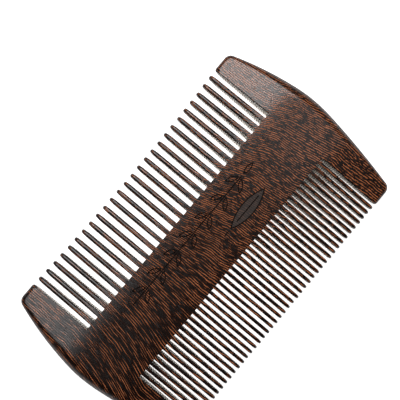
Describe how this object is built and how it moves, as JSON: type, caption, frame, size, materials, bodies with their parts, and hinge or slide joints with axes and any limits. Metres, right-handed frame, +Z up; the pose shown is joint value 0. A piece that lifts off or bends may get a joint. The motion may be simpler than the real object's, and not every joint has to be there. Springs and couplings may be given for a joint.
{
  "type": "beard comb",
  "caption": "Two-sided dark wood beard comb: flat spine between a coarse and a fine row of sawn teeth, rounded solid ends and an engraved leaf sprig.",
  "frame": {"origin": "centre of the comb's box in X and Y, on the flat back of the spine", "axes": "+X along the comb, +Y towards the coarse teeth, +Z up out of the engraved front face"},
  "size_m": [0.115, 0.0666, 0.007],
  "materials": {
    "dark_wood": "near-black brown hardwood, sanded and oiled to a soft satin, saw-cut walls left matte"
  },
  "bodies": {
    "root": {"spine": "dark_wood", "left_end": "dark_wood", "right_end": "dark_wood", "coarse_teeth": "dark_wood", "fine_teeth": "dark_wood"}
  },
  "joints": []
}
